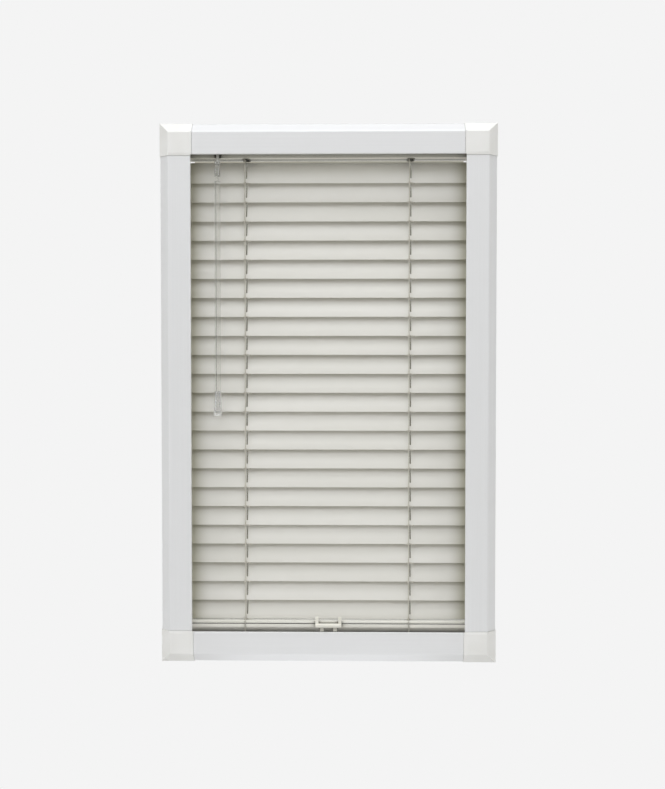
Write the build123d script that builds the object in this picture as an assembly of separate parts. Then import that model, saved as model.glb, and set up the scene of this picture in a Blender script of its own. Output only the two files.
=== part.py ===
from build123d import *
import os
from math import asin, cos, degrees, pi, radians, sin, sqrt

# A white framed venetian blind that clips on to a window. Four extruded rails and four moulded corners
# make a surround; a headrail behind its top rail turns crowned metal slats through two string ladders;
# tension cords keep the stack straight; a clear wand works the tilter.
# Millimetres. +X is right, +Y is away from the room, +Z is up.
# The origin is the centre of the surround's box.

# Surround
frame_width = 365.0
frame_height = 585.0
frame_depth = 40.0
rail_face = 33.5
rail_wall = 2.0
chamber_width = 14.0
chamfer_face = 9.5
chamfer_depth = 10.0
bevel_round = 2.5
lip_depth = 2.0
lip_round = 0.5
corner_leg = 35.7
corner_proud = 0.8
corner_inner_round = 1.6
corner_slope = 3.0
corner_slope_drop = 0.5
joint_gap = 0.3
spigot_length = 14.0
spigot_wall = 1.5

# Clearances: plugged or clipped pieces, running fits, loose pieces that pass each other, overrun of cuts
fit_gap = 0.15
running_gap = 0.08
loose_gap = 0.4
overrun = 1.0

# Slats
slat_width = 25.0
slat_lap = 4.3
slat_thickness = 0.3
slat_crown = 1.7
slat_corner = 3.0
slat_pitch_aim = 20.7
slat_tilt = 70.0
slat_setback = 24.0
slot_length = 15.0
slot_width = 1.6
slat_top_gap = 2.2
slat_bottom_gap = 0.6

# Headrail
headrail_depth = 25.0
headrail_drop = 2.8
headrail_wall = 0.8
headrail_lip = 2.5
headrail_top_gap = 0.3
bracket_plate = 2.0
bracket_plug = 9.0
bracket_wall = 1.6

# Ladders, cords and what carries them
ladder_inset = 58.7
string_diameter = 1.0
string_shift = 1.7
string_gap = 0.3
cord_diameter = 0.9
cord_hole = 1.8
knot_diameter = 3.0
knot_height = 2.6
grommet_width = 8.0
grommet_length = 21.0
grommet_rim = 0.5
grommet_hole_width = 6.0
grommet_drop = 0.8
cradle_width = 17.0
cradle_base = 1.2
cradle_wall = 1.8
cradle_cheek = 14.0
anchor_diameter = 7.0
anchor_height = 6.5

# Tilt shaft
rod_height = 11.8
rod_side = 4.0
rod_overhang = 11.0
drum_diameter = 9.0
drum_length = 8.0
drum_flange = 1.0
drum_flange_diameter = 12.0
journal_diameter = 8.0
gear_teeth = 18
gear_module = 0.5
gear_width = 6.0
gear_dedendum_share = 1.25

# Tilter and wand
tilter_inset = 28.7
stem_lean = 30.0
worm_diameter = 3.0
worm_length = 10.0
mesh_gap = 0.3
stem_collar_diameter = 4.8
stem_collar = 1.0
neck_diameter = 2.2
ball_diameter = 4.4
housing_width = 14.0
nose_diameter = 4.8
nose_length = 5.4
nose_hole = 8.0
neck_clear = 3.4
wand_setback = 6.0
socket_diameter = 6.6
socket_rim = 0.9
sleeve_diameter = 6.2
sleeve_bore = 5.0
sleeve_length = 14.8
sleeve_drop = 5.6
head_neck = 4.2
sleeve_end = 1.2
swivel_neck = 3.0
swivel_collar = 1.8
swivel_reach = 5.4
hex_size = 5.5
hex_sides = 6
wand_length = 273.0
grip_length = 27.0
grip_top_diameter = 6.9
grip_diameter = 9.5
grip_floor = 4.0
grip_end_round = 1.2

# Bottom rail
bottom_rail_depth = 22.0
bottom_rail_height = 14.8
bottom_rail_tuck = 4.8
bottom_rail_lap = 5.8
bottom_rail_wall = 1.0
channel_height = 2.3
edge_round = 0.7
cover_groove = 1.0
keel_height = 7.7
keel_width = 5.0
keel_round = 1.5
rib_height = 1.0
cap_plate = 2.0
cap_plug = 7.0

# Finger handle
handle_width = 28.5
handle_bar_height = 4.4
handle_bar_depth = 4.5
handle_bar_lift = 7.8
handle_round = 1.5
handle_strap = 3.4
handle_strap_depth = 2.4
handle_hook = 1.6
handle_hook_height = 2.4
handle_strap_rise = 4.6
handle_foot = 4.0
handle_foot_spread = 14.6
handle_foot_drop = 3.8

# Places worked out from the sizes above
rear_y = frame_depth / 2
rail_front_y = -frame_depth / 2 + corner_proud
rail_depth = frame_depth - corner_proud
rail_out_x = frame_width / 2 - corner_proud
rail_out_z = frame_height / 2 - corner_proud
opening_x = rail_out_x - rail_face
opening_z = rail_out_z - rail_face
chamber_x = rail_out_x - chamber_width
chamber_z = rail_out_z - chamber_width
axis_y = -frame_depth / 2 + slat_setback
slat_length = 2 * (opening_x + slat_lap)
ladder_offset = opening_x - ladder_inset

headrail_bottom = opening_z - headrail_drop
headrail_top = chamber_z - headrail_top_gap
headrail_floor = headrail_bottom + headrail_wall
headrail_inside = headrail_depth - 2 * headrail_wall
headrail_half = chamber_x - bracket_plate
rod_z = headrail_bottom + rod_height

bottom_rail_low = -opening_z - bottom_rail_tuck
bottom_rail_top = bottom_rail_low + bottom_rail_height
bottom_rail_front = axis_y - bottom_rail_depth / 2
bottom_rail_length = 2 * (opening_x + bottom_rail_lap)
bottom_rail_joint = bottom_rail_top - channel_height
cover_height = bottom_rail_height - channel_height - cover_groove

# A slat's edges, seen from its axis, which runs along the crest of its crown
slat_radius = slat_width**2 / (8 * slat_crown) + slat_crown / 2
tilt_cos = cos(radians(slat_tilt))
tilt_sin = sin(radians(slat_tilt))
edge_low_y = -slat_width / 2 * tilt_cos + slat_crown * tilt_sin
edge_low_z = -slat_width / 2 * tilt_sin - slat_crown * tilt_cos
edge_high_y = slat_width / 2 * tilt_cos + slat_crown * tilt_sin
edge_high_z = slat_width / 2 * tilt_sin - slat_crown * tilt_cos

slat_first_z = headrail_bottom - slat_top_gap - edge_high_z
slat_last_z = bottom_rail_top + slat_bottom_gap - edge_low_z
slat_steps = round((slat_first_z - slat_last_z) / slat_pitch_aim)
slat_pitch = (slat_first_z - slat_last_z) / slat_steps
slat_count = slat_steps + 1
slat_zs = [slat_first_z - i * slat_pitch for i in range(slat_count)]

string_radius = string_diameter / 2
string_clear = string_gap + string_radius
front_string_y = axis_y + edge_low_y - string_clear
rear_string_y = axis_y + edge_high_y + string_clear
lead_offset = drum_diameter / 2 + running_gap + string_radius

# The worm stem lies in front of the worm wheel, square to the tilt rod, and leans towards the room.
gear_pitch_radius = gear_teeth * gear_module / 2
gear_tip = gear_pitch_radius + gear_module
gear_root = gear_pitch_radius - gear_dedendum_share * gear_module
worm_offset = gear_tip + mesh_gap + worm_diameter / 2
lean_cos = cos(radians(stem_lean))
lean_sin = sin(radians(stem_lean))
worm_y = axis_y - worm_offset * lean_cos
worm_z = rod_z + worm_offset * lean_sin
wand_x = tilter_inset - opening_x
wand_y = -frame_depth / 2 + wand_setback
ball_reach = (worm_y - wand_y) / lean_sin
ball_z = worm_z - ball_reach * lean_cos
stem_plane = Plane(origin=(wand_x, worm_y, worm_z), x_dir=(1, 0, 0), z_dir=(0, -lean_sin, -lean_cos))
neck_start = ball_reach - socket_diameter / 2 - neck_clear
collar_start = worm_length / 2 + loose_gap
collar_end = collar_start + stem_collar + loose_gap
nose_end = collar_end + nose_length

sleeve_low = ball_z - sleeve_length
rod_top = sleeve_low - swivel_reach
wand_low = ball_z - wand_length


def rect(u0, v0, u1, v1):
    """A rectangle between two corners of a sketch."""
    return Pos((u0 + u1) / 2, (v0 + v1) / 2) * Rectangle(u1 - u0, v1 - v0)


def block(x0, y0, z0, x1, y1, z1):
    """A box between two corners."""
    return Pos((x0 + x1) / 2, (y0 + y1) / 2, (z0 + z1) / 2) * Box(x1 - x0, y1 - y0, z1 - z0)


def upright(x, y, z0, z1, diameter):
    """A vertical cylinder from z0 to z1."""
    return Pos(x, y, (z0 + z1) / 2) * Cylinder(diameter / 2, z1 - z0)


def along_x(x0, x1, y, z, section):
    """A sketch in depth and height, set at y and z and drawn out from x0 to x1."""
    return Pos(x0, y, z) * extrude(Plane.YZ * section, amount=x1 - x0)


def along_stem(t0, t1, diameter):
    """A cylinder on the worm stem's axis, with distances counted down towards the ball."""
    return stem_plane * (Pos(0, 0, (t0 + t1) / 2) * Cylinder(diameter / 2, t1 - t0))


def save(name, shape):
    export_step(shape, f"parts/{name}.step")


# Surround


def chamber_outline(proud):
    """The box chamber of a rail, from its outer face inwards and from its front backwards."""
    return make_face(
        Polyline(
            (-proud, chamfer_depth),
            (chamfer_face, -proud),
            (chamber_width, -proud),
            (chamber_width, rail_depth),
            (-proud, rail_depth),
            close=True,
        )
    )


def chamber_inset(amount):
    return offset(chamber_outline(0), -amount, kind=Kind.INTERSECTION)


def rail_outline(proud):
    """Chamber, front flange and the flange's return lip, with the bevel's and the lip's edges rounded."""
    flange = rect(chamber_width, -proud, rail_face, rail_wall)
    lip = rect(rail_face - rail_wall, -proud, rail_face, rail_wall + lip_depth)
    outline = chamber_outline(proud) + flange + lip
    outline = fillet(outline.vertices().sort_by(lambda v: v.X - v.Y)[-1], lip_round)
    return fillet(outline.vertices().sort_by(lambda v: v.X + v.Y)[:2], bevel_round)


def rail_plane(inward, x, z):
    """A plane whose sketches run inwards from a rail's outer face and backwards from its front."""
    direction = Vector(*inward)
    return Plane(origin=(x, rail_front_y, z), x_dir=direction, z_dir=direction.cross(Vector(0, 1, 0)))


def make_rails():
    section = rail_outline(0) - chamber_inset(rail_wall)
    half_x = frame_width / 2 - corner_leg - joint_gap
    half_z = frame_height / 2 - corner_leg - joint_gap
    places = {
        "top": ((0, 0, -1), 0, rail_out_z, half_x),
        "bottom": ((0, 0, 1), 0, -rail_out_z, half_x),
        "left": ((1, 0, 0), -rail_out_x, 0, half_z),
        "right": ((-1, 0, 0), rail_out_x, 0, half_z),
    }
    for side, (inward, x, z, half) in places.items():
        rail = extrude(rail_plane(inward, x, z) * section, amount=half, both=True)
        save(f"frame_{side}_rail", rail)


def mitred_legs(section, start, reach):
    """A section drawn out along both legs of the top right corner and cut on the mitre."""
    top_plane = rail_plane((0, 0, -1), rail_out_x - start, rail_out_z)
    side_plane = rail_plane((-1, 0, 0), rail_out_x, rail_out_z - start)
    top_leg = extrude(top_plane * section, amount=start - reach)
    side_leg = extrude(side_plane * section, amount=reach - start)
    far = reach + overrun
    near = corner_proud + overrun
    top_half = Polyline((near, near), (-far, near), (-far, -far), close=True)
    side_half = Polyline((near, near), (near, -far), (-far, -far), close=True)
    mitre_plane = Plane(origin=(rail_out_x, -frame_depth, rail_out_z), x_dir=(1, 0, 0), z_dir=(0, -1, 0))
    top_prism = extrude(mitre_plane * make_face(top_half), amount=-2 * frame_depth)
    side_prism = extrude(mitre_plane * make_face(side_half), amount=-2 * frame_depth)
    return (top_leg & top_prism) + (side_leg & side_prism)


def make_corners():
    """One corner is modelled at the top right, with a slight slope at each joint, and mirrored thrice."""
    leg = corner_leg - corner_proud
    plug_end = leg + spigot_length
    corner = mitred_legs(rail_outline(corner_proud), -corner_proud, leg)
    round_sketch = rect(0, 0, corner_inner_round, corner_inner_round)
    round_sketch -= Pos(corner_inner_round, corner_inner_round) * Circle(corner_inner_round)
    front_y = -frame_depth / 2
    web_plane = Plane(origin=(opening_x, front_y, opening_z), x_dir=(-1, 0, 0), z_dir=(0, 1, 0))
    corner += extrude(web_plane * round_sketch, amount=corner_proud + rail_wall + lip_depth)
    slope = make_face(
        Polyline(
            (0, corner_slope_drop),
            (corner_slope, 0),
            (corner_slope, -overrun),
            (0, -overrun),
            close=True,
        )
    )
    top_end = Plane(origin=(rail_out_x - leg, front_y, opening_z), x_dir=(1, 0, 0), z_dir=(0, 0, 1))
    side_end = Plane(origin=(opening_x, front_y, rail_out_z - leg), x_dir=(0, 0, 1), z_dir=(-1, 0, 0))
    reach = rail_face + corner_proud + overrun
    corner -= extrude(top_end * slope, amount=reach)
    corner -= extrude(side_end * slope, amount=-reach)
    plug = chamber_inset(rail_wall + fit_gap)
    for inward, sign in (((0, 0, -1), -1), ((-1, 0, 0), 1)):
        plane = rail_plane(inward, rail_out_x, rail_out_z)
        spigot = extrude(plane * plug, amount=sign * plug_end)
        root = extrude(plane * plug, amount=sign * (leg - spigot_wall))
        corner += spigot - root
    corner -= mitred_legs(chamber_inset(rail_wall + fit_gap + spigot_wall), 0, plug_end + overrun)
    left = mirror(corner, Plane.YZ)
    save("corner_top_right", corner)
    save("corner_top_left", left)
    save("corner_bottom_right", mirror(corner, Plane.XY))
    save("corner_bottom_left", mirror(left, Plane.XY))


# Headrail


def make_headrail():
    """A folded U with curled lips, a hole for each grommet and a notch for the tilter's nose."""
    height = headrail_top - headrail_bottom
    half = headrail_depth / 2
    section = rect(-half, 0, half, height)
    section -= rect(-half + headrail_wall, headrail_wall, half - headrail_wall, height - headrail_wall)
    mouth = half - headrail_wall - headrail_lip
    section -= rect(-mouth, height - headrail_wall, mouth, height)
    headrail = along_x(-headrail_half, headrail_half, axis_y, headrail_bottom, section)
    hole_width = grommet_width - 2 * grommet_rim + 2 * fit_gap
    hole_length = grommet_length - 2 * grommet_rim + 2 * fit_gap
    hole = extrude(SlotOverall(hole_length, hole_width, rotation=90), amount=overrun, both=True)
    for side in (-1, 1):
        headrail -= Pos(side * ladder_offset, axis_y, headrail_bottom + headrail_wall / 2) * hole
    headrail -= along_stem(collar_end, neck_start, nose_hole)
    save("headrail", headrail)


def make_brackets():
    """End brackets: a plate against the surround's chamber and a hollow plug inside the headrail."""
    half = headrail_depth / 2
    height = headrail_top - headrail_bottom
    plate = rect(-half, 0, half, height)
    plug_half = headrail_inside / 2 - fit_gap
    plug_low = headrail_wall + fit_gap
    plug_high = height - headrail_wall - fit_gap
    plug = rect(-plug_half, plug_low, plug_half, plug_high)
    plug -= rect(-plug_half + bracket_wall, plug_low + bracket_wall, plug_half - bracket_wall, plug_high)
    right = along_x(headrail_half, chamber_x, axis_y, headrail_bottom, plate)
    right += along_x(headrail_half - bracket_plug, headrail_half, axis_y, headrail_bottom, plug)
    save("headrail_bracket_right", right)
    save("headrail_bracket_left", mirror(right, Plane.YZ))


def make_grommets():
    outer = SlotOverall(grommet_length, grommet_width, rotation=90)
    body = SlotOverall(grommet_length - 2 * grommet_rim, grommet_width - 2 * grommet_rim, rotation=90)
    hole_length = grommet_length - (grommet_width - grommet_hole_width)
    hole = SlotOverall(hole_length, grommet_hole_width, rotation=90)
    flange = Pos(0, 0, -grommet_drop) * extrude(outer - hole, amount=grommet_drop)
    ring = flange + extrude(body - hole, amount=headrail_wall)
    places = [Pos(side * ladder_offset, axis_y, headrail_bottom) for side in (-1, 1)]
    save("ladder_grommets", Compound(children=[place * ring for place in places]))


def make_cradle(side):
    """A clip-in saddle: a base notched for the two strings, a hole for the cord and two open bearings."""
    x = side * ladder_offset
    half = cradle_width / 2
    base_half = headrail_inside / 2 - fit_gap
    base_top = headrail_floor + cradle_base
    cradle = block(x - half, axis_y - base_half, headrail_floor, x + half, axis_y + base_half, base_top)
    for sign in (-1, 1):
        notch_half = string_radius + loose_gap
        notch_x = x - string_shift
        near = axis_y + sign * (lead_offset - notch_half)
        far = axis_y + sign * (base_half + overrun)
        left = notch_x - notch_half
        right = notch_x + notch_half
        cradle -= block(left, min(near, far), headrail_bottom, right, max(near, far), base_top + overrun)
    cradle -= upright(x, axis_y, headrail_bottom, base_top + overrun, cord_diameter + 2 * fit_gap)
    bearing = journal_diameter + 2 * running_gap
    cheek = rect(-cradle_cheek / 2, 0, cradle_cheek / 2, rod_z - headrail_floor)
    seat = Pos(0, rod_z - headrail_floor) * Circle(bearing / 2)
    for sign in (-1, 1):
        inner = x + sign * (half - cradle_wall)
        outer = x + sign * half
        cradle += along_x(min(inner, outer), max(inner, outer), axis_y, headrail_floor, cheek - seat)
    return cradle


# Tilt shaft


def square_bore(length, x):
    side = rod_side + 2 * fit_gap
    return Pos(x, axis_y, rod_z) * Box(length, side, side)


def make_drum(side):
    """A spool for the ladder's two strings, with a square bore and a journal at each end."""
    x = side * ladder_offset
    half = drum_length / 2
    end = cradle_width / 2
    drum = along_x(x - end, x + end, axis_y, rod_z, Circle(journal_diameter / 2))
    drum += along_x(x - half, x + half, axis_y, rod_z, Circle(drum_diameter / 2))
    for sign in (-1, 1):
        inner = x + sign * half
        outer = x + sign * (half + drum_flange)
        disc = Circle(drum_flange_diameter / 2)
        drum += along_x(min(inner, outer), max(inner, outer), axis_y, rod_z, disc)
    return drum - square_bore(cradle_width + overrun, x)


def make_tilt_rod():
    low = wand_x - housing_width / 2 - rod_overhang
    high = ladder_offset + rod_overhang
    save("tilt_rod", along_x(low, high, axis_y, rod_z, Rectangle(rod_side, rod_side)))


def make_gear():
    """The worm wheel, with straight-flanked teeth."""
    tooth = 2 * pi / gear_teeth
    flank_shares = ((gear_root, -0.36), (gear_tip, -0.18), (gear_tip, 0.18), (gear_root, 0.36))
    points = []
    for i in range(gear_teeth):
        for radius, share in flank_shares:
            turn = tooth * (i + share)
            points.append((radius * cos(turn), radius * sin(turn)))
    wheel = make_face(Polyline(*points, close=True))
    half = gear_width / 2
    gear = along_x(wand_x - half, wand_x + half, axis_y, rod_z, wheel)
    save("tilter_gear", gear - square_bore(gear_width + overrun, wand_x))


# Tilter and wand


def make_housing():
    """The tilter's closed case, seated in the headrail, with a nose that carries the stem out of it."""
    half = housing_width / 2
    depth_half = headrail_inside / 2 - fit_gap
    top = headrail_top - headrail_wall - fit_gap
    case = block(wand_x - half, axis_y - depth_half, headrail_floor, wand_x + half, axis_y + depth_half, top)
    case += along_stem(collar_end, nose_end, nose_diameter)
    gear_room = Circle(gear_tip + loose_gap)
    gear_half = gear_width / 2 + loose_gap
    case -= along_x(wand_x - gear_half, wand_x + gear_half, axis_y, rod_z, gear_room)
    rod_room = Circle(rod_side / sqrt(2) + loose_gap)
    case -= along_x(wand_x - half - overrun, wand_x + half + overrun, axis_y, rod_z, rod_room)
    worm_end = worm_length / 2 + loose_gap
    case -= along_stem(-worm_end, worm_end, worm_diameter + 2 * loose_gap)
    case -= along_stem(worm_length / 2, collar_end, stem_collar_diameter + 2 * loose_gap)
    case -= along_stem(collar_end, neck_start, worm_diameter + 2 * running_gap)
    save("tilter_housing", case)


def make_stem():
    stem = along_stem(-worm_length / 2, neck_start, worm_diameter)
    stem += along_stem(collar_start, collar_start + stem_collar, stem_collar_diameter)
    stem += along_stem(neck_start, ball_reach, neck_diameter)
    stem += stem_plane * (Pos(0, 0, ball_reach) * Sphere(ball_diameter / 2))
    save("tilter_stem", stem)


def make_wand_head():
    """A clear ball socket, and on a short neck below it a sleeve in which the rod's swivel turns."""
    cavity = ball_diameter + 2 * running_gap
    head = Pos(wand_x, wand_y, ball_z) * Sphere(socket_diameter / 2)
    sleeve_top = ball_z - sleeve_drop
    head += upright(wand_x, wand_y, sleeve_top, ball_z, head_neck)
    head += upright(wand_x, wand_y, sleeve_low, sleeve_top, sleeve_diameter)
    reach = socket_diameter
    rim = ball_z + socket_rim
    head -= block(wand_x - reach, wand_y - reach, rim, wand_x + reach, wand_y + reach, rim + reach)
    head -= Pos(wand_x, wand_y, ball_z) * Sphere(cavity / 2)
    bore_top = sleeve_top - sleeve_end
    head -= upright(wand_x, wand_y, sleeve_low + sleeve_end, bore_top, sleeve_bore)
    head -= upright(wand_x, wand_y, sleeve_low - overrun, bore_top, swivel_neck + 2 * running_gap)
    save("wand_head", head)


def make_wand_rod():
    hexagon = RegularPolygon(hex_size / 2, hex_sides, major_radius=False)
    rod_low = wand_low + grip_floor + fit_gap
    rod = Pos(wand_x, wand_y, rod_low) * extrude(hexagon, amount=rod_top - rod_low)
    collar_low = sleeve_low + sleeve_end + running_gap
    rod += upright(wand_x, wand_y, rod_top, collar_low + swivel_collar, swivel_neck)
    rod += upright(wand_x, wand_y, collar_low, collar_low + swivel_collar, sleeve_bore - 2 * running_gap)
    save("wand_rod", rod)


def make_wand_grip():
    """A flared grip pushed on to the rod's lower end."""
    top_radius = grip_top_diameter / 2
    low_radius = grip_diameter / 2
    middle_share = 0.38
    middle = (top_radius + middle_share * (low_radius - top_radius), grip_length / 2)
    flare = ThreePointArc((low_radius, grip_end_round), middle, (top_radius, grip_length))
    foot = Polyline((low_radius, grip_end_round), (low_radius - grip_end_round, 0), (0, 0))
    back = Polyline((0, 0), (0, grip_length), (top_radius, grip_length))
    profile = make_face(Curve() + [flare, foot, back])
    grip = revolve(Plane.XZ * profile, axis=Axis.Z)
    bore = RegularPolygon(hex_size / 2 + fit_gap, hex_sides, major_radius=False)
    grip -= Pos(0, 0, grip_floor) * extrude(bore, amount=grip_length)
    save("wand_grip", Pos(wand_x, wand_y, wand_low) * grip)


# Slats, strings and cords


def make_slat():
    """A crowned strip with rounded corners and two cord slots, level, with its axis at the origin."""
    half_angle = degrees(asin(slat_width / 2 / slat_radius))
    outer = CenterArc((0, -slat_radius), slat_radius, 90 - half_angle, 2 * half_angle)
    inner_radius = slat_radius - slat_thickness
    inner = CenterArc((0, -slat_radius), inner_radius, 90 - half_angle, 2 * half_angle)
    section = make_face(Curve() + [outer, Line(outer @ 1, inner @ 1), inner, Line(inner @ 0, outer @ 0)])
    strip = along_x(-slat_length / 2, slat_length / 2, 0, 0, section)
    corners = [e for e in strip.edges() if abs(e.length - slat_thickness) < slat_thickness / 2]
    strip = fillet(corners, slat_corner)
    slot = extrude(SlotOverall(slot_length, slot_width, rotation=90), amount=slat_crown, both=True)
    for side in (-1, 1):
        strip -= Pos(side * ladder_offset, 0, 0) * slot
    return strip


def make_slats():
    slat = make_slat()
    for i, z in enumerate(slat_zs):
        save(f"slat_{i + 1:02d}", Pos(0, axis_y, z) * Rot(slat_tilt, 0, 0) * slat)


def make_strings():
    """The ladders' strings hug the slats' edges, from the top slat's to the one above the lowest."""
    ends = {
        "front": (front_string_y, edge_low_z),
        "rear": (rear_string_y, edge_high_z),
    }
    for depth, (y, edge_z) in ends.items():
        top = slat_zs[0] + edge_z + string_radius
        low = slat_zs[-2] + edge_z - string_radius
        for name, side in (("left", -1), ("right", 1)):
            x = side * ladder_offset - string_shift
            save(f"ladder_{depth}_string_{name}", upright(x, y, low, top, string_diameter))
    leads = []
    for side in (-1, 1):
        for sign in (-1, 1):
            x = side * ladder_offset - string_shift
            y = axis_y + sign * lead_offset
            leads.append(upright(x, y, headrail_bottom - grommet_drop, rod_z, string_diameter))
    save("ladder_leads", Compound(children=leads))


def make_cords():
    """Each tension cord hangs on a knot above its cradle and ends in an anchor on the surround."""
    seat = headrail_floor + cradle_base
    floor = -chamber_z
    anchors = []
    for name, side in (("left", -1), ("right", 1)):
        x = side * ladder_offset
        low = floor + anchor_height / 2
        cord = upright(x, axis_y, low, seat + knot_height, cord_diameter)
        cord += upright(x, axis_y, seat, seat + knot_height, knot_diameter)
        save(f"tension_cord_{name}", cord)
        anchor = upright(x, axis_y, floor, floor + anchor_height, anchor_diameter)
        anchor -= upright(x, axis_y, low, floor + anchor_height + overrun, cord_diameter + 2 * fit_gap)
        anchors.append(anchor)
    save("cord_anchors", Compound(children=anchors))


# Bottom rail


def cover_outline():
    """The cover's outside: upright faces, and a keel that leaves room for fingers and meets the cords."""
    half = bottom_rail_depth / 2
    keel = keel_width / 2
    outline = make_face(
        Polyline(
            (-half, cover_height),
            (-half, keel_height),
            (-keel, 0),
            (keel, 0),
            (half, keel_height),
            (half, cover_height),
            close=True,
        )
    )
    outline = fillet(outline.vertices().filter_by(lambda v: v.Y < cover_height), keel_round)
    return fillet(outline.vertices().group_by(Axis.Y)[-1], edge_round)


def make_bottom_rail():
    """An upper channel and a snap-on cover below it, with a shadow groove where they meet."""
    half = bottom_rail_depth / 2
    wall = bottom_rail_wall
    channel = rect(-half, 0, half, channel_height)
    top_edges = channel.vertices().group_by(Axis.Y)[-1]
    channel = fillet(top_edges, edge_round) - rect(-half + wall, 0, half - wall, channel_height - wall)
    end = bottom_rail_length / 2
    rail = along_x(-end, end, axis_y, bottom_rail_joint, channel)
    rib_out = half - wall - fit_gap
    rib_in = rib_out - wall
    inside = offset(cover_outline(), -wall, kind=Kind.INTERSECTION)
    cover = cover_outline() - inside - rect(-rib_in, cover_height - 2 * wall, rib_in, cover_height)
    rib_top = cover_height + cover_groove + rib_height
    for low, high in ((-rib_out, -rib_in), (rib_in, rib_out)):
        cover += rect(low, cover_height - wall, high, rib_top)
    lower = along_x(-end, end, axis_y, bottom_rail_low, cover)
    hole_low = bottom_rail_low - overrun
    hole_high = bottom_rail_top + overrun
    for side in (-1, 1):
        x = side * ladder_offset
        holes = upright(x, axis_y, hole_low, hole_high, cord_hole)
        for y in (front_string_y, rear_string_y):
            holes += upright(x - string_shift, y, hole_low, hole_high, string_diameter + 2 * loose_gap)
        rail -= holes
        lower -= holes
    save("bottom_rail", rail)
    save("bottom_rail_cover", lower)


def make_caps():
    """End caps with the rail's whole outline and a plug between the cover's ribs."""
    half = bottom_rail_depth / 2
    upper = rect(-half, cover_height - 2 * edge_round, half, bottom_rail_height)
    upper = fillet(upper.vertices().group_by(Axis.Y)[-1], edge_round)
    outline = cover_outline() + upper
    plug_half = half - 2 * (bottom_rail_wall + fit_gap)
    plug = rect(-plug_half, keel_height, plug_half, bottom_rail_height - bottom_rail_wall - fit_gap)
    end = bottom_rail_length / 2
    right = along_x(end, end + cap_plate, axis_y, bottom_rail_low, outline)
    right += along_x(end - cap_plug, end, axis_y, bottom_rail_low, plug)
    save("bottom_rail_cap_right", right)
    save("bottom_rail_cap_left", mirror(right, Plane.YZ))


def make_handle():
    """A moulded finger bar, two straps that hook over the bottom rail and two feet that grip its keel."""
    half = handle_width / 2
    face = bottom_rail_front
    bar_low = bottom_rail_low + handle_bar_lift
    bar = rect(-handle_bar_depth, 0, 0, handle_bar_height)
    front_edges = bar.vertices().group_by(Axis.X)[0]
    handle = along_x(-half, half, face, bar_low, fillet(front_edges, handle_round))
    strap_front = face - handle_strap_depth
    strap_top = bottom_rail_top + handle_strap_rise
    hook_back = face + handle_hook
    hook_top = bottom_rail_top + handle_hook_height
    for x in (-half, half - handle_strap):
        handle += block(x, strap_front, bar_low, x + handle_strap, face, strap_top)
        handle += block(x, strap_front, bottom_rail_top, x + handle_strap, hook_back, hook_top)
    for side in (-1, 1):
        x = side * handle_foot_spread / 2
        left = x - handle_foot / 2
        right = x + handle_foot / 2
        handle += block(left, strap_front, bar_low - handle_foot_drop, right, hook_back, bar_low)
    room = offset(cover_outline(), fit_gap)
    handle -= along_x(-half - overrun, half + overrun, axis_y, bottom_rail_low, room)
    save("lift_handle", handle)


os.makedirs("parts", exist_ok=True)
make_rails()
make_corners()
make_headrail()
make_brackets()
make_grommets()
for side_name, side_sign in (("left", -1), ("right", 1)):
    save(f"drum_cradle_{side_name}", make_cradle(side_sign))
    save(f"ladder_drum_{side_name}", make_drum(side_sign))
make_tilt_rod()
make_gear()
make_housing()
make_stem()
make_wand_head()
make_wand_rod()
make_wand_grip()
make_slats()
make_strings()
make_cords()
make_bottom_rail()
make_caps()
make_handle()

print(f"slats: {slat_count} at a pitch of {slat_pitch:.3f}")
print(f"slat axes: y {axis_y:.3f}, z {slat_zs[0]:.3f} to {slat_zs[-1]:.3f}")
print(f"slat's low edge from its axis: y {edge_low_y:.3f}, z {edge_low_z:.3f}")
print(f"slat's high edge from its axis: y {edge_high_y:.3f}, z {edge_high_z:.3f}")
print(f"tilt rod: y {axis_y:.3f}, z {rod_z:.3f}")
print(f"worm stem: x {wand_x:.3f}, y {worm_y:.3f}, z {worm_z:.3f}, lean {stem_lean:.3f}")
print(f"wand ball: x {wand_x:.3f}, y {wand_y:.3f}, z {ball_z:.3f}")
print(f"rear face of the top rail: y {rear_y:.3f}, z {rail_out_z - chamber_width / 2:.3f}")
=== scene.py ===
# %% [markdown]
# A framed venetian blind: a slim white surround that clips on to a window, and in it a stack of crowned,
# cream-coated metal slats on two string ladders, with a clear tilt wand and a bottom rail with a finger
# handle. The solids come from the CAD frame and already have their true shapes. This lesson gives each of
# them a finish, adds the threads that CAD leaves plain, and lights the whole like a catalogue picture.

# %% Load the frame
from math import pi, radians

import bmesh
import bpy
from mathutils import Matrix, Vector


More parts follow.
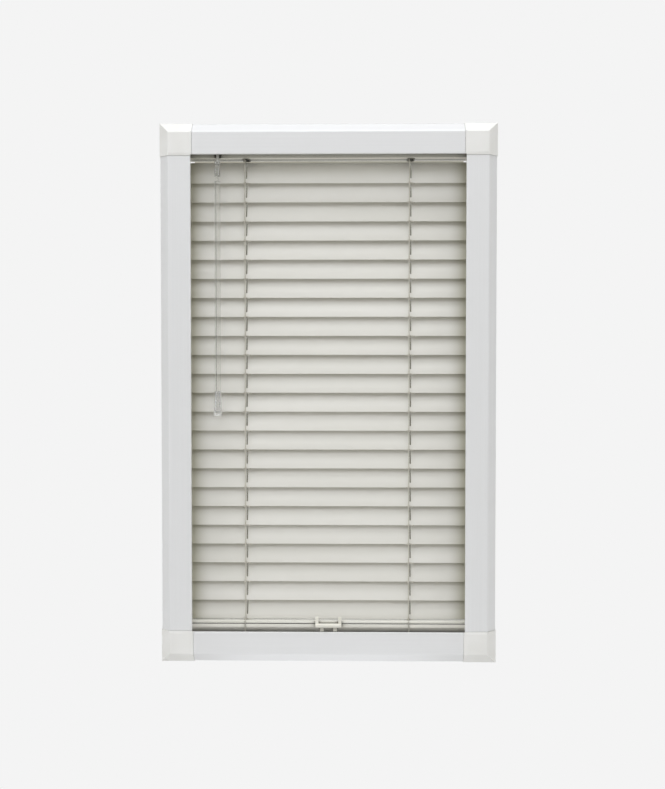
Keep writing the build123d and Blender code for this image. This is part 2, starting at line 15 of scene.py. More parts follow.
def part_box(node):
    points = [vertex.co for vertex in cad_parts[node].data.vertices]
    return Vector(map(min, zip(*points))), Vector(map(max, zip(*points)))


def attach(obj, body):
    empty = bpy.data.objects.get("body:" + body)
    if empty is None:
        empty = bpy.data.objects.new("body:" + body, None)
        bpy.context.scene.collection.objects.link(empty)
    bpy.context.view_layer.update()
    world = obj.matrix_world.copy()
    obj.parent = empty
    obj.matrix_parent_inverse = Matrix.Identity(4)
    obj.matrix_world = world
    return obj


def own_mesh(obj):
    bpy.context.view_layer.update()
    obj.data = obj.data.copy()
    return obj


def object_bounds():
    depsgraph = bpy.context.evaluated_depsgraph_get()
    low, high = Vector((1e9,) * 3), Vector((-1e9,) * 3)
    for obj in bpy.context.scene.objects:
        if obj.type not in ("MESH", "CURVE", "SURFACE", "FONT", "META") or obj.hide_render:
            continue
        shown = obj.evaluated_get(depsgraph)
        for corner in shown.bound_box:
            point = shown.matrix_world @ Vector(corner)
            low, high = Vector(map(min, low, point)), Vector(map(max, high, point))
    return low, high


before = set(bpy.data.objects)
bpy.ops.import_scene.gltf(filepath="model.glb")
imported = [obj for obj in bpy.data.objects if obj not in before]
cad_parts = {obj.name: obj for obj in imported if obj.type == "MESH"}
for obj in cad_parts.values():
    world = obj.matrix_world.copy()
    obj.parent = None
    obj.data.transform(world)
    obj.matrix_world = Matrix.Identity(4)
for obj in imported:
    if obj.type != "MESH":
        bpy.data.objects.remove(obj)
cad_box = [list(corner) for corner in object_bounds()]
MM = 0.001

# %% [markdown]
# A straight-on catalogue view shows every proportion error, so the camera's place and lens come from the
# real object: it stands 1.3 m in front of the blind, a hand above its middle and a little to the right, and
# looks slightly down and to the left. The lens is given by its focal length in picture heights, which
# doesn't depend on any sensor size.

# %% Camera
PICTURE_HEIGHT = 789
FOCAL_LENGTH = 1190 / PICTURE_HEIGHT  # in picture heights
SENSOR_HEIGHT = 24.0
CAMERA_PLACE = Vector((28.3, -1300.0, 42.1)) * MM
LOOK_DOWN = radians(1.872)
LOOK_LEFT = radians(1.056)

camera_data = bpy.data.cameras.new("camera")
camera_data.sensor_fit = "VERTICAL"
camera_data.sensor_height = SENSOR_HEIGHT
camera_data.lens = FOCAL_LENGTH * SENSOR_HEIGHT
camera = bpy.data.objects.new("camera", camera_data)
camera.location = CAMERA_PLACE
camera.rotation_euler = (pi / 2 - LOOK_DOWN, 0, LOOK_LEFT)
bpy.context.scene.collection.objects.link(camera)
bpy.context.scene.camera = camera
print("camera lens:", round(camera_data.lens, 2), "mm")

# %% [markdown]
# Catalogue light for white goods is a ring of large soft boxes. The two above the front are what makes the
# upper bevel of the surround the brightest face and leaves a soft shadow under each slat; a weaker one far
# off fills the front from the camera's side. A box on each side keeps the upright bevels pale, a strip under
# the blind does the same for the lower bevel, and a weak box behind it lets its back be read. The boxes are
# slightly cool. A dim, warm tent of light from all around, which is the world, keeps the shadows open. What
# looks straight at the world, or through clear plastic, sees a white backdrop in place of the tent.

# %% Studio light
TENT_LIGHT = 0.2
TENT_COLOUR = "#fffbe2"
BOX_COLOUR = "#f8faff"
BACKDROP = 0.905
WHITE = (1, 1, 1, 1)
# Each soft box: its place, width, height and power.
SOFT_BOXES = {
    "far_box": (Vector((0.15, -3.5, 1.6)), 6.6, 2.2, 10.0),
    "high_box": (Vector((0.0, -2.0, 2.2)), 6.0, 1.8, 43.0),
    "top_box": (Vector((0.0, -0.35, 1.8)), 1.2, 0.6, 18.5),
    "left_box": (Vector((-2.2, -0.9, 0.2)), 1.0, 1.6, 15.0),
    "right_box": (Vector((2.2, -0.9, 0.2)), 1.0, 1.6, 11.5),
    "back_box": (Vector((0.7, 2.4, 0.3)), 2.4, 1.0, 9.0),
    "floor_strip": (Vector((0.0, -0.035, -0.345)), 0.25, 0.03, 0.035),
}


def linear(hex_colour):
    """A colour written as sRGB hex, in the linear values that shaders take."""
    channels = [int(hex_colour[i:i + 2], 16) / 255 for i in (1, 3, 5)]
    return [c / 12.92 if c <= 0.04045 else ((c + 0.055) / 1.055) ** 2.4 for c in channels] + [1.0]


def add(tree, kind, inputs=None, **settings):
    """One shader node: settings are its properties, inputs are values or the sockets that feed it."""
    node = tree.nodes.new("ShaderNode" + kind)
    for name, value in settings.items():
        setattr(node, name, value)
    for name, value in (inputs or {}).items():
        if isinstance(value, bpy.types.NodeSocket):
            tree.links.new(value, node.inputs[name])
        else:
            node.inputs[name].default_value = value
    return node


def light_the_tent():
    world = bpy.data.worlds.new("studio_tent")
    bpy.context.scene.world = world
    world.use_nodes = True
    tree = world.node_tree
    tree.nodes.clear()
    tent = add(tree, "Background", {"Color": linear(TENT_COLOUR), "Strength": TENT_LIGHT})
    backdrop = add(tree, "Background", {"Color": WHITE, "Strength": BACKDROP})
    path = add(tree, "LightPath").outputs
    inputs = {0: path["Is Camera Ray"], 1: path["Is Transmission Ray"]}
    seen = add(tree, "Math", inputs, operation="MAXIMUM").outputs[0]
    mix = add(tree, "MixShader", {0: seen, 1: tent.outputs[0], 2: backdrop.outputs[0]})
    add(tree, "OutputWorld", {"Surface": mix.outputs[0]})


def hang_soft_box(name, place, width, height, power):
    data = bpy.data.lights.new(name, "AREA")
    data.shape = "RECTANGLE"
    data.size = width
    data.size_y = height
    data.energy = power
    data.color = linear(BOX_COLOUR)[:3]
    box = bpy.data.objects.new(name, data)
    box.location = place
    box.rotation_euler = (-place).to_track_quat("-Z", "Y").to_euler()
    box.visible_camera = False
    bpy.context.scene.collection.objects.link(box)
    print(name, "at", tuple(place))


bpy.context.scene.view_settings.view_transform = "Standard"
light_the_tent()
for box_name, box_facts in SOFT_BOXES.items():
    hang_soft_box(box_name, *box_facts)

# %% [markdown]
# The floor lies well below the blind, which hangs on a window when it is used. To the camera it glows
# evenly, so that it meets the backdrop without a line. To the light it is matt and pale, and throws some of
# it back up.

# %% Floor
FLOOR_SIZE = 30.0
FLOOR_DROP = 0.16
FLOOR_COLOUR = "#efefef"


def stage_material(name):
    """A material without nodes, for a piece of the stage."""
    material = bpy.data.materials.new(name)
    material.use_nodes = True
    material.node_tree.nodes.clear()
    return material, material.node_tree


def stage_sheet(name, matrix, material):
    """A flat piece of the stage: a square of one unit that a matrix stretches, turns and places."""
    mesh = bpy.data.meshes.new(name)
    shape = bmesh.new()
    bmesh.ops.create_grid(shape, x_segments=1, y_segments=1, size=0.5, matrix=matrix)
    shape.to_mesh(mesh)
    shape.free()
    mesh.materials.append(material)
    sheet = bpy.data.objects.new(name, mesh)
    bpy.context.scene.collection.objects.link(sheet)
    print(name, "laid")
    return sheet


def lay_floor():
    material, tree = stage_material("pale floor")
    glow = add(tree, "Emission", {"Color": WHITE, "Strength": BACKDROP})
    matt = add(tree, "BsdfDiffuse", {"Color": linear(FLOOR_COLOUR)})
    seen = add(tree, "LightPath").outputs["Is Camera Ray"]
    mix = add(tree, "MixShader", {0: seen, 1: matt.outputs[0], 2: glow.outputs[0]})
    add(tree, "OutputMaterial", {"Surface": mix.outputs[0]})
    level = Matrix.Translation((0, 0, cad_box[0][2] - FLOOR_DROP))
    stage_sheet("floor", level @ Matrix.Scale(FLOOR_SIZE, 4), material)


lay_floor()

# %% [markdown]
# A closed blind has a dim room or window behind it, and its narrow gaps and cord slots show that dimness,
# not a white studio. Two grey cards in the plane of the surround's back stand in for it as painted shade:
# their grey glows evenly, and a paler one hangs above the first slat. They are seen from the front only,
# neither light nor shade the blind, and don't belong to it.

# %% Cards behind the slats
# painted shade: the cards' flat grey glow, paler above the first slat, stands for the dim space behind
CARD_COLOUR = "#7a786e"
UPPER_CARD_COLOUR = "#a9a698"
CARD_GAP = 0.3 * MM


def hang_card(name, colour, low_z, high_z):
    """A card between the side rails, from one height to another."""
    material, tree = stage_material(name)
    grey = add(tree, "Emission", {"Color": linear(colour), "Strength": 1.0})
    clear = add(tree, "BsdfTransparent")
    behind = add(tree, "NewGeometry").outputs["Backfacing"]
    mix = add(tree, "MixShader", {0: behind, 1: grey.outputs[0], 2: clear.outputs[0]})
    add(tree, "OutputMaterial", {"Surface": mix.outputs[0]})
    left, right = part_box("frame_left_rail")[1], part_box("frame_right_rail")[0]
    place = Vector(((left.x + right.x) / 2, left.y - CARD_GAP, (low_z + high_z) / 2))
    size = Matrix.Diagonal((right.x - left.x, 1, high_z - low_z, 1))
    upright = Matrix.Rotation(pi / 2, 4, "X")
    card = stage_sheet(name, Matrix.Translation(place) @ size @ upright, material)
    card.visible_diffuse = False
    card.visible_glossy = False
    card.visible_shadow = False


card_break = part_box("slat_01")[1].z
hang_card("card", CARD_COLOUR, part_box("frame_bottom_rail")[1].z, card_break)
hang_card("upper_card", UPPER_CARD_COLOUR, card_break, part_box("frame_top_rail")[0].z)

# %% [markdown]
# Nearly everything here is white or cream, so the finishes differ in small things: how sharp a reflection
# is, how warm the white is, and the faint marks of how each surface was made. Every pattern reads Object
# coordinates, which on these parts are the metres of the blind itself, so one helper turns a mark's real
# size in millimetres along each axis into a pattern scale.

# %% Shared pieces of a finish
# A Mix node holds its number, vector and colour sockets in one list: these are the colour ones.
MIX_SHARE, MIX_FIRST, MIX_SECOND, MIX_COLOUR = 0, 6, 7, 2
NOISE_SPAN = (0.3, 0.7)  # noise seldom leaves the middle of its range


def new_finish(name, colour, roughness, ior, **more):
    """A material with one principled shader; values that are the same all over sit on its own sockets."""
    material = bpy.data.materials.new(name)
    material.use_nodes = True
    tree = material.node_tree
    shader = tree.nodes["Principled BSDF"]
    values = {"Base Color": linear(colour), "Roughness": roughness, "IOR": ior, **more}
    for socket, value in values.items():
        shader.inputs[socket].default_value = value
    return material, tree, shader


def marks(tree, size_mm, detail=2.0):
    """Noise whose blotches measure size_mm along X, Y and Z."""
    place = add(tree, "TexCoord").outputs["Object"]
    scale = [1 / (size * MM) for size in size_mm]
    stretched = add(tree, "Mapping", {"Vector": place, "Scale": scale}, vector_type="POINT")
    inputs = {"Vector": stretched.outputs[0], "Scale": 1.0, "Detail": detail, "Roughness": 0.5}
    return add(tree, "TexNoise", inputs).outputs["Fac"]


def paint(tree, shader, share, low, high):
    """Colour from low to high by a share; each of the two is a colour or the socket that gives one."""
    mix = add(tree, "Mix", {MIX_SHARE: share, MIX_FIRST: low, MIX_SECOND: high}, data_type="RGBA")
    tree.links.new(mix.outputs[MIX_COLOUR], shader.inputs["Base Color"])


def tint(tree, shader, factor, low, high, span=NOISE_SPAN):
    """Colour that drifts between two near shades with a pattern."""
    inputs = {"Value": factor, "From Min": span[0], "From Max": span[1]}
    share = add(tree, "MapRange", inputs).outputs["Result"]
    paint(tree, shader, share, linear(low), linear(high))


def polish(tree, shader, factor, low, high):
    """Roughness that drifts between two values with a pattern."""
    span = {"From Min": NOISE_SPAN[0], "From Max": NOISE_SPAN[1], "To Min": low, "To Max": high}
    drift = add(tree, "MapRange", {"Value": factor, **span}).outputs["Result"]
    tree.links.new(drift, shader.inputs["Roughness"])


def relief(tree, shader, factor, depth_mm, strength):
    """Fine relief of a real depth."""
    inputs = {"Height": factor, "Distance": depth_mm * MM, "Strength": strength}
    tree.links.new(add(tree, "Bump", inputs).outputs[0], shader.inputs["Normal"])


def dress(material, *nodes):
    """Puts a finish on CAD nodes."""
    for name in nodes:
        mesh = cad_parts[name].data
        mesh.materials.clear()
        mesh.materials.append(material)
    print(material.name, "on", len(nodes), "nodes")


# %% [markdown]
# Joints, the cover's lower edge and the slats' ends lie in deep shade on the real blind, deeper than these
# soft boxes leave them, so three helpers paint that shade into a finish. One finds joints by how open the
# surface is around each spot, the other two measure how near a spot is to an edge. It is shade and no
# property of the material: it stays there in any light.

# %% Shade in joints and at edges
OPEN_SPAN = (0.4, 0.95)  # from a spot deep in a joint to one that lies open
OPEN_SAMPLES = 8
END_FALL = 2.0  # the shade grows with the square of the nearness to a slat's end


def colour_so_far(shader):
    """The socket that feeds a finish's colour, for painting over it."""
    return shader.inputs["Base Color"].links[0].from_socket


def shade_joints(tree, shader, reach_mm, shade):
    reach = {"Distance": reach_mm * MM}
    openness = add(tree, "AmbientOcclusion", reach, samples=OPEN_SAMPLES).outputs["AO"]
    inputs = {"Value": openness, "From Min": OPEN_SPAN[0], "From Max": OPEN_SPAN[1]}
    share = add(tree, "MapRange", inputs).outputs["Result"]
    paint(tree, shader, share, linear(shade), colour_so_far(shader))


def shade_low_edge(tree, shader, low_z, reach_mm, shade):
    place = add(tree, "TexCoord").outputs["Object"]
    height = add(tree, "SeparateXYZ", {"Vector": place}).outputs["Z"]
    inputs = {"Value": height, "From Min": low_z, "From Max": low_z + reach_mm * MM}
    share = add(tree, "MapRange", inputs).outputs["Result"]
    paint(tree, shader, share, linear(shade), colour_so_far(shader))


def shade_ends(tree, shader, opening, reach_mm, shade):
    place = add(tree, "TexCoord").outputs["Object"]
    across = add(tree, "SeparateXYZ", {"Vector": place}).outputs["X"]
    from_middle = add(tree, "Math", {0: across}, operation="ABSOLUTE").outputs[0]
    inputs = {"Value": from_middle, "From Min": opening - reach_mm * MM, "From Max": opening}
    nearness = add(tree, "MapRange", inputs).outputs["Result"]
    share = add(tree, "Math", {0: nearness, 1: END_FALL}, operation="POWER").outputs[0]
    paint(tree, shader, share, colour_so_far(shader), linear(shade))


# %% [markdown]
# The surround's rails are rigid PVC, pushed hot through a steel die and cooled in a sizing block. That
# leaves a cool white, half-gloss skin with faint draw lines along the rail. The lines follow each rail, so
# the upright rails get their own copy of the finish with the pattern turned.

# %% Extruded PVC rails
DRAW_LINE = 1.6
DRAW_LENGTH = 180.0


def extruded_pvc(name, size_mm):
    material, tree, shader = new_finish(name, "#e6e6e7", 0.34, 1.53)
    lines = marks(tree, size_mm)
    tint(tree, shader, lines, "#e5e5e6", "#e7e7e8")
    polish(tree, shader, lines, 0.31, 0.37)
    relief(tree, shader, lines, 0.006, 0.3)
    return material


level_pvc = extruded_pvc("extruded white PVC, level", (DRAW_LENGTH, DRAW_LINE, DRAW_LINE))
upright_pvc = extruded_pvc("extruded white PVC, upright", (DRAW_LINE, DRAW_LINE, DRAW_LENGTH))
dress(level_pvc, "frame_top_rail", "frame_bottom_rail")
dress(upright_pvc, "frame_left_rail", "frame_right_rail")

# %% [markdown]
# The corner pieces are injection-moulded ABS. The tool was spark-eroded, so the skin has an even, very fine
# grain and is a little duller and warmer than the rails it joins. The plastic's flow leaves wide, faint
# clouds.

# %% Moulded ABS corners
EROSION_GRAIN = 0.7  # the real grain is about 0.1 mm, drawn coarser so that it shows
FLOW_CLOUD = 24.0
GRAIN_GLOSS = 0.05


def moulded_abs(name, colours, roughness, joints=None, low_edge=None):
    """The finish of all mouldings here; joints and low_edge say where shade is painted in, if at all."""
    material, tree, shader = new_finish(name, colours[0], roughness, 1.52)
    grain = marks(tree, (EROSION_GRAIN,) * 3, detail=3.0)
    flow = marks(tree, (FLOW_CLOUD,) * 3, detail=1.0)
    tint(tree, shader, flow, *colours)
    if joints:
        shade_joints(tree, shader, *joints)
    if low_edge:
        shade_low_edge(tree, shader, *low_edge)
    polish(tree, shader, grain, roughness - GRAIN_GLOSS, roughness + GRAIN_GLOSS)
    relief(tree, shader, grain, 0.02, 0.3)
    return material


corner_abs = moulded_abs("moulded warm white ABS", ("#ebeae7", "#efeeec"), 0.40)
CORNERS = ("corner_top_left", "corner_top_right", "corner_bottom_left", "corner_bottom_right")
dress(corner_abs, *CORNERS)

# %% [markdown]
# The slats are aluminium strip, coated on the coil and then roll-formed to their crown. The coat is cream
# and half-gloss, with long faint lines from the rollers and a slight difference of shade from strip to
# strip. Its ends, which lie in the shade of the side rails, are painted darker.

# %% Coil-coated slats
ROLLER_LINE = 1.1
ROLLER_LENGTH = 260.0
STRIP_CLOUD = (400.0, 40.0, 26.0)
END_SHADE = (20.0, "#b7b4a3")
SLATS = sorted(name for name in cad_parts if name.startswith("slat_"))


def coil_coat():
    material, tree, shader = new_finish("cream coil-coated aluminium", "#e2e0d8", 0.36, 1.5)
    lines = marks(tree, (ROLLER_LENGTH, ROLLER_LINE, ROLLER_LINE))
    strip = marks(tree, STRIP_CLOUD, detail=1.0)
    tint(tree, shader, strip, "#dfddd6", "#e6e4de")
    shade_ends(tree, shader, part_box("frame_right_rail")[0].x, *END_SHADE)
    polish(tree, shader, lines, 0.32, 0.40)
    relief(tree, shader, lines, 0.02, 0.3)
    return material


dress(coil_coat(), *SLATS)

# %% [markdown]
# The headrail is folded from steel strip and stove-enamelled, and the bottom rail is enamelled aluminium.
# Enamel pulls itself smooth but keeps a soft ripple, a few millimetres across, like the skin of an orange.
# Both have shade painted into their joints: the headrail under the surround's top rail, the bottom rail at
# its cover.

# %% Enamelled headrail and bottom rail
ENAMEL_RIPPLE = 2.5
ENAMEL_CLOUD = (120.0, 18.0, 18.0)
RIPPLE_GLOSS = 0.04
HEADRAIL_SHADE = (14.0, "#57544a")
RAIL_SHADE = (10.0, "#6d6a5e")


def enamel(name, colours, roughness, joints):
    material, tree, shader = new_finish(name, colours[0], roughness, 1.5)
    ripple = marks(tree, (ENAMEL_RIPPLE * 3, ENAMEL_RIPPLE, ENAMEL_RIPPLE), detail=1.0)
    cloud = marks(tree, ENAMEL_CLOUD, detail=1.0)
    tint(tree, shader, cloud, *colours)
    shade_joints(tree, shader, *joints)
    polish(tree, shader, ripple, roughness - RIPPLE_GLOSS, roughness + RIPPLE_GLOSS)
    relief(tree, shader, ripple, 0.03, 0.25)
    return material


headrail_enamel = enamel("cream stove enamel on steel", ("#e6e3d7", "#ebe8dd"), 0.38, HEADRAIL_SHADE)
rail_enamel = enamel("cream enamel on aluminium", ("#e6e4da", "#ebe9e1"), 0.32, RAIL_SHADE)
dress(headrail_enamel, "headrail")
dress(rail_enamel, "bottom_rail")

# %% [markdown]
# Inside the headrail and at the bottom rail sit plain mouldings. Brackets, drums, worm wheel and cord
# anchors are white acetal, which feels waxy and has a soft sheen; the tilter's stem is a pale grey one. The
# eyelets, the tilter's housing and the drum cradles are nylon, from grey to black, and look dark in the
# headrail's opening. The eyelets' grey and the cradles' black are partly painted shade, darker than
# the nylon alone, for the shade in and behind the eyelets' holes. Cover, end caps and finger handle are
# cream ABS, and the cover has shade painted in at its joint and towards its lower edge. The same moulding
# finish serves all of them, with other colours.

# %% Moulded inner pieces, cover and handle
COVER_JOINT_SHADE = (6.0, "#5f5c52")
COVER_EDGE_SHADE = (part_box("bottom_rail_cover")[0].z, 6.5, "#1a1914")

acetal = moulded_abs("moulded white acetal", ("#e4e4df", "#e9e9e5"), 0.46)
stem_acetal = moulded_abs("moulded pale grey acetal", ("#c4c3bd", "#cdccc6"), 0.35)
# painted shade: the eyelets' grey and the cradles' black are partly for the shade in the eyelets' holes
grommet_nylon_and_shade = moulded_abs("moulded grey nylon with painted shade", ("#6d6b62", "#77756b"), 0.5)
housing_nylon = moulded_abs("moulded dark grey nylon", ("#55524a", "#5f5c53"), 0.5)
cradle_nylon_and_shade = moulded_abs("moulded black nylon with painted shade", ("#1d1c19", "#252420"), 0.5)
cream_abs = moulded_abs("moulded cream ABS", ("#ebe8dd", "#f0ede4"), 0.38)
cover_abs = moulded_abs(
    "moulded cream ABS with a shaded edge",
    ("#f3f0e7", "#f7f4ec"),
    0.38,
    joints=COVER_JOINT_SHADE,
    low_edge=COVER_EDGE_SHADE,
)
dress(acetal, "headrail_bracket_left", "headrail_bracket_right", "tilter_gear", "cord_anchors")
dress(acetal, "ladder_drum_left", "ladder_drum_right")
dress(stem_acetal, "tilter_stem")
dress(grommet_nylon_and_shade, "ladder_grommets")
dress(housing_nylon, "tilter_housing")
dress(cradle_nylon_and_shade, "drum_cradle_left", "drum_cradle_right")
dress(cream_abs, "bottom_rail_cap_left", "bottom_rail_cap_right", "lift_handle")
dress(cover_abs, "bottom_rail_cover")

# %% [markdown]
# The tilt rod is square steel bar, pulled bright through a die, so its scratches run along it. A metal keeps
# the default index and gets its look from colour and roughness.

# %% Bright drawn steel
BAR_SCRATCH = 0.5
BAR_SCRATCH_LENGTH = 60.0


def drawn_steel():
    material, tree, shader = new_finish("bright drawn steel", "#a9a8a6", 0.32, 1.5, Metallic=1.0)
    scratches = marks(tree, (BAR_SCRATCH_LENGTH, BAR_SCRATCH, BAR_SCRATCH), detail=3.0)
    tint(tree, shader, scratches, "#9c9b99", "#b4b3b1")
    polish(tree, shader, scratches, 0.24, 0.42)
    relief(tree, shader, scratches, 0.01, 0.3)
    return material


dress(drawn_steel(), "tilt_rod")

# %% [markdown]
# The wand's rod is clear acrylic, its grip a slightly frosted one and its socket clear polycarbonate, and
# the tension cords are clear nylon line. The light goes through them and bends, so a rod over pale slats
# shows mostly as darker and brighter lines along its six edges. A slight waviness in the surface breaks
# those lines up, as on moulded plastic.

# %% Clear wand and cords
PLASTIC_WAVE = 9.0


def clear_plastic(name, colour, ior, clearness):
    material, tree, shader = new_finish(name, colour, 0.01, ior, **{"Transmission Weight": clearness})
    wave = marks(tree, (PLASTIC_WAVE / 3, PLASTIC_WAVE / 3, PLASTIC_WAVE), detail=1.0)
    polish(tree, shader, wave, 0.0, 0.02)
    relief(tree, shader, wave, 0.03, 0.2)
    return material


dress(clear_plastic("moulded clear acrylic", "#f2f2ef", 1.49, 0.93), "wand_rod")
dress(clear_plastic("moulded frosted acrylic", "#fdfdfc", 1.49, 0.82), "wand_grip")
dress(clear_plastic("moulded clear polycarbonate", "#dededa", 1.585, 0.90), "wand_head")
dress(clear_plastic("drawn clear nylon", "#e9e9e4", 1.53, 0.92), "tension_cord_left", "tension_cord_right")

# %% [markdown]
# The ladder strings are braided polyester, which looks beige beside the slats. A braid shows as small
# slanted stitches, so the finish uses two sets of stripes that cross: one climbs to the right, the other to
# the left.

# %% Braided polyester
STITCH = 1.3
STITCH_LEAN = radians(38)
STITCH_SPAN = (0.1, 0.9)
SIDES = ("left", "right")
FRONT, REAR = "front", "rear"


def braided_polyester():
    sheen = {"Sheen Weight": 0.25}
    material, tree, shader = new_finish("braided cream polyester", "#b9b5a8", 0.72, 1.5, **sheen)
    place = add(tree, "TexCoord").outputs["Object"]
    stripes = []
    for lean in (-STITCH_LEAN, STITCH_LEAN):
        turned = add(tree, "Mapping", {"Vector": place, "Rotation": (0, lean, 0)}).outputs[0]
        # A wave texture has about pi bands to a unit.
        inputs = {"Vector": turned, "Scale": 1 / (pi * STITCH * MM), "Distortion": 0.4}
        stripes.append(add(tree, "TexWave", inputs, bands_direction="Z").outputs["Fac"])
    crossed = add(tree, "Math", {0: stripes[0], 1: stripes[1]}, operation="MAXIMUM").outputs[0]
    tint(tree, shader, crossed, "#aaa598", "#cbc7bb", span=STITCH_SPAN)
    relief(tree, shader, crossed, 0.12, 0.6)
    return material


braid = braided_polyester()
STRINGS = [f"ladder_{depth}_string_{side}" for depth in (FRONT, REAR) for side in SIDES]
dress(braid, "ladder_leads", *STRINGS)

# %% [markdown]
# A ladder is two strings with rungs between them, and each slat lies on two pairs of rungs. The CAD strings
# run along the slats' edges; the rungs, the knots and the strings' soft ends are added here. A thread is a
# NURBS curve with a round bevel, which bends smoothly past a few points, and it becomes a mesh so that it
# can ride on a body. Every place is read off the CAD nodes, so the threads still fit after a change of size.

# %% Threads and knots
RUNG = 0.8 * MM
KNOT = 1.6 * MM
KNOT_STRETCH = 1.3


def string_line(depth, side):
    """The centre of a string's lower end, the centre of its upper end, and its diameter."""
    low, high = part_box(f"ladder_{depth}_string_{side}")
    x, y = (low.x + high.x) / 2, (low.y + high.y) / 2
    return Vector((x, y, low.z)), Vector((x, y, high.z)), high.x - low.x


def draw_threads(name, body, paths, diameter):
    """One mesh of round threads that rides on a body; each thread bends past its points."""
    curve = bpy.data.curves.new(name, "CURVE")
    curve.dimensions = "3D"
    curve.bevel_depth = diameter / 2
    curve.bevel_resolution = 1
    curve.resolution_u = 4
    curve.use_fill_caps = True
    for path in paths:
        spline = curve.splines.new("NURBS")
        spline.points.add(len(path) - 1)
        for point, place in zip(spline.points, path):
            point.co = (*place, 1)
        spline.order_u = 3
        spline.use_endpoint_u = True
    drawn = bpy.data.objects.new(name, curve)
    bpy.context.scene.collection.objects.link(drawn)
    mesh = bpy.data.meshes.new_from_object(drawn)
    bpy.data.objects.remove(drawn)
    bpy.data.curves.remove(curve)
    mesh.shade_smooth()
    mesh.materials.clear()
    mesh.materials.append(braid)
    piece = bpy.data.objects.new(name, mesh)
    bpy.context.scene.collection.objects.link(piece)
    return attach(piece, body)


def tie_knots(piece, places):
    """Adds a small bead of thread to a piece at each place."""
    shape = bmesh.new()
    shape.from_mesh(piece.data)
    stretch = Matrix.Diagonal((1, 1, KNOT_STRETCH, 1))
    for place in places:
        matrix = Matrix.Translation(place) @ stretch
        bmesh.ops.create_icosphere(shape, subdivisions=2, radius=KNOT / 2, matrix=matrix)
    shape.to_mesh(piece.data)
    shape.free()
    piece.data.shade_smooth()


print("string diameter:", round(string_line(FRONT, SIDES[0])[2] / MM, 2), "mm")

# %% [markdown]
# A rung leaves the front string at the slat's lower edge, turns under that edge, runs straight behind the
# hollow of the slat and ends at the rear string. It moves with its slat. Two rungs stand a few millimetres
# apart on either side of the slot, and show as two small bumps under the slat's edge. When the bottom rail
# is lifted, the lowest slat slides up close behind the one above it and leaves its rungs about half a
# millimetre. So these are drawn thin, and nested in the hollow of their slat, at every pose.

# %% Rungs
RUNG_SPREAD = 4.0 * MM
UNDER = 0.75 * MM  # how far a rung passes below the lower edge
BEHIND = 1.4 * MM  # and behind it
NESTED = 0.52 * MM  # how far behind its slat's face a nested rung lies
NESTED_RUNG = 0.34 * MM  # and how thick it is
NESTED_STEPS = (0.03, 0.1, 0.2, 0.35, 0.5, 0.65, 0.8)  # places across the slat, from its lower edge


def hollow(slat):
    """How far a slat bulges from the straight line between its edges, as a vector towards the front."""
    low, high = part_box(slat)
    across = Vector((0, high.y - low.y, high.z - low.z)).normalized()
    outward = Vector((0, -across.z, across.y))
    return outward * max((v.co - low).dot(outward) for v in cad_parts[slat].data.vertices)


def nested_places(slat):
    """Places close behind a slat; its crown is near enough a parabola."""
    low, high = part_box(slat)
    bulge = hollow(slat)
    behind = bulge.normalized() * NESTED
    return [low.lerp(high, step) + bulge * 4 * step * (1 - step) - behind for step in NESTED_STEPS]


def rung(slat, side, spread, nested):
    """A rung's points; a nested one follows the hollow of its slat in place of a straight line."""
    low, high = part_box(slat)
    front, rear = string_line(FRONT, side)[0], string_line(REAR, side)[0]
    cord_low, cord_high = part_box("tension_cord_" + side)
    x = (cord_low.x + cord_high.x) / 2 + spread * RUNG_SPREAD
    if nested:
        turn_y = low.y - NESTED / 2
        middle = [(x, place.y, place.z) for place in nested_places(slat)]
    else:
        turn_y = low.y + UNDER / 2
        half_way = (x, (low.y + high.y + BEHIND) / 2, (low.z + high.z) / 2)
        middle = [(x, low.y + BEHIND, low.z + UNDER), half_way]
    return [
        (front.x, front.y, low.z + UNDER),
        (x, front.y, low.z - UNDER),
        (x, turn_y, low.z - UNDER),
        *middle,
        (x, high.y, high.z - 2 * BEHIND),
        (rear.x, rear.y, high.z - UNDER),
    ]


for slat in SLATS:
    nested = slat == SLATS[-2]
    slat_rungs = [rung(slat, side, spread, nested) for side in SIDES for spread in (-1, 1)]
    thickness = NESTED_RUNG if nested else RUNG
    last_rungs = draw_threads("ladder_rungs_" + slat[-2:], slat, slat_rungs, thickness)
print("rungs:", len(slat_rungs) * len(SLATS))

# %% [markdown]
# Each string is thicker where a rung is tied in. The knots on the front strings lie at the slats' lower
# edges, those on the rear strings at the upper edges, and they travel with their string. They sit on the
# side that faces away from the slats, so that the slats can turn. The lowest slat hangs on the soft end of
# the ladder, so its knots go with its rungs.

# %% Knots
KNOT_SHIFT = 0.3 * MM


def knot_places(depth, slats):
    """Where a string passes the edges of these slats, on both ladders."""
    corner = 0 if depth == FRONT else 1
    shift = -KNOT_SHIFT if depth == FRONT else KNOT_SHIFT
    lines = [string_line(depth, side)[0] for side in SIDES]
    return [Vector((line.x, line.y + shift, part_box(slat)[corner].z)) for line in lines for slat in slats]


for depth in (FRONT, REAR):
    knots = draw_threads(f"ladder_{depth}_knots", "ladder_" + depth, [], RUNG)
    tie_knots(knots, knot_places(depth, SLATS[:-1]))
    tie_knots(last_rungs, knot_places(depth, SLATS[-1:]))
    print(knots.name, "tied")

# %% [markdown]
# The strings' ends are soft. At the top, the front strings run up to the eyelets; on the real blind they
# shorten towards the headrail as the drum winds them in, and here they are drawn at rest on the surround.
# The rear strings are paid out at the same time, so their spare length, as much as a slat's edge travels,
# waits inside the headrail.

# %% Soft ends at the headrail
last_low, last_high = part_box(SLATS[-1])
edge_travel = last_high.z - last_low.z
eyelet_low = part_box("ladder_leads")[0]
front_low, _, string_width = string_line(FRONT, SIDES[0])
rear_low, rear_high, _ = string_line(REAR, SIDES[0])


def straight(depth, low_z, high_z):
    """A straight thread on each ladder, in line with its string."""
    ends = [string_line(depth, side)[0] for side in SIDES]
    heights = (high_z, (low_z + high_z) / 2, low_z)
    return [[(end.x, end.y, z) for z in heights] for end in ends]


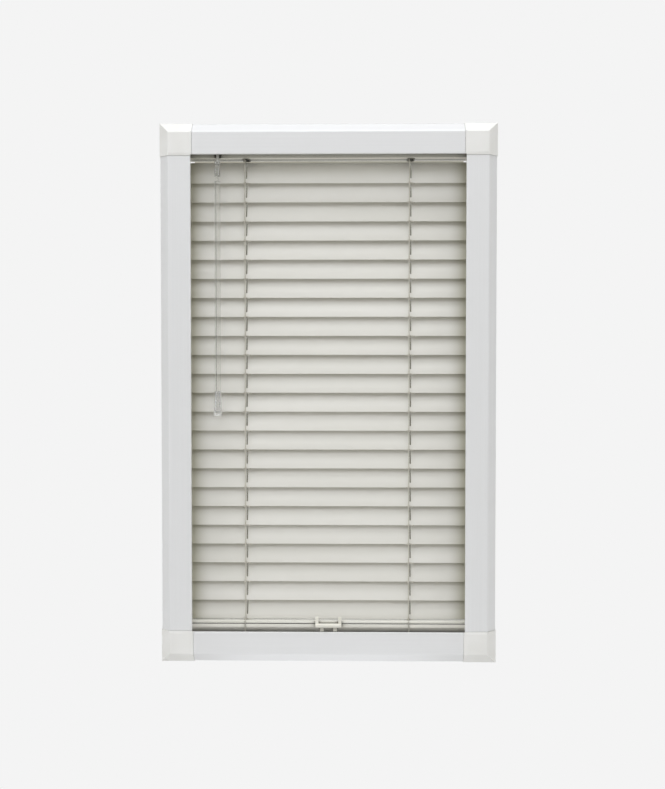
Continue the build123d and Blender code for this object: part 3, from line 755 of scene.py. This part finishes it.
def eyelet_lead(side):
    """A front string's way from the eyelet down to its upper end."""
    top = string_line(FRONT, side)[1]
    eyelet_y = eyelet_low.y + string_width / 2
    drop = eyelet_low.z - top.z
    return [
        (top.x, eyelet_y, eyelet_low.z),
        (top.x, eyelet_y, eyelet_low.z - drop / 3),
        (top.x, top.y, top.z + drop / 3),
        (top.x, top.y, top.z),
    ]


leads = [eyelet_lead(side) for side in SIDES]
front_leads = draw_threads("ladder_front_leads", "surround", leads, string_width)
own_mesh(front_leads)

rear_spare = straight(REAR, rear_high.z, rear_high.z + edge_travel)
draw_threads("ladder_rear_leads", "ladder_rear", rear_spare, string_width)
print("soft ends at the headrail:", round(edge_travel / MM, 1), "mm of spare length")

# %% [markdown]
# At the bottom, each front string runs through the bottom rail, with the same spare length, and each rear
# string ends in the rail. On the real blind the last stretches shorten where the bottom rail rises; here
# they are drawn at rest.

# %% Soft ends at the bottom rail
rail_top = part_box("bottom_rail")[1].z
front_end = rail_top - edge_travel

tails = straight(FRONT, front_end, front_low.z)
front_tails = draw_threads("ladder_front_tails", "ladder_front", tails, string_width)
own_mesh(front_tails)

links = straight(REAR, last_high.z, rear_low.z)
rear_links = draw_threads("ladder_rear_links", "ladder_rear", links, string_width)
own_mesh(rear_links)

tails = straight(REAR, rail_top - BEHIND, last_high.z)
rear_tails = draw_threads("ladder_rear_tails", "lower_rail", tails, string_width)
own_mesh(rear_tails)

# %% [markdown]
# A thread from each ladder is pulled over the bottom rail's front and tied under it, which holds the rail on
# the ladders. It lies tight on the rail and moves with it.

# %% Ties over the bottom rail
cover_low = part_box("bottom_rail_cover")[0]
tie_y = min(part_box("bottom_rail")[0].y, cover_low.y) - RUNG / 2
tie_top, tie_low = rail_top + RUNG / 2, cover_low.z - RUNG / 2


def rail_tie(side):
    """A thread over the top of the bottom rail, down its front and under it."""
    end = string_line(FRONT, side)[0]
    return [
        (end.x, end.y, tie_top),
        (end.x, tie_y, tie_top),
        (end.x, tie_y, rail_top - BEHIND),
        (end.x, tie_y, cover_low.z + BEHIND),
        (end.x, tie_y, tie_low),
        (end.x, tie_y + 2 * BEHIND, tie_low),
    ]


draw_threads("ladder_front_ties", "lower_rail", [rail_tie(side) for side in SIDES], RUNG)
print("ties over the bottom rail:", len(SIDES))
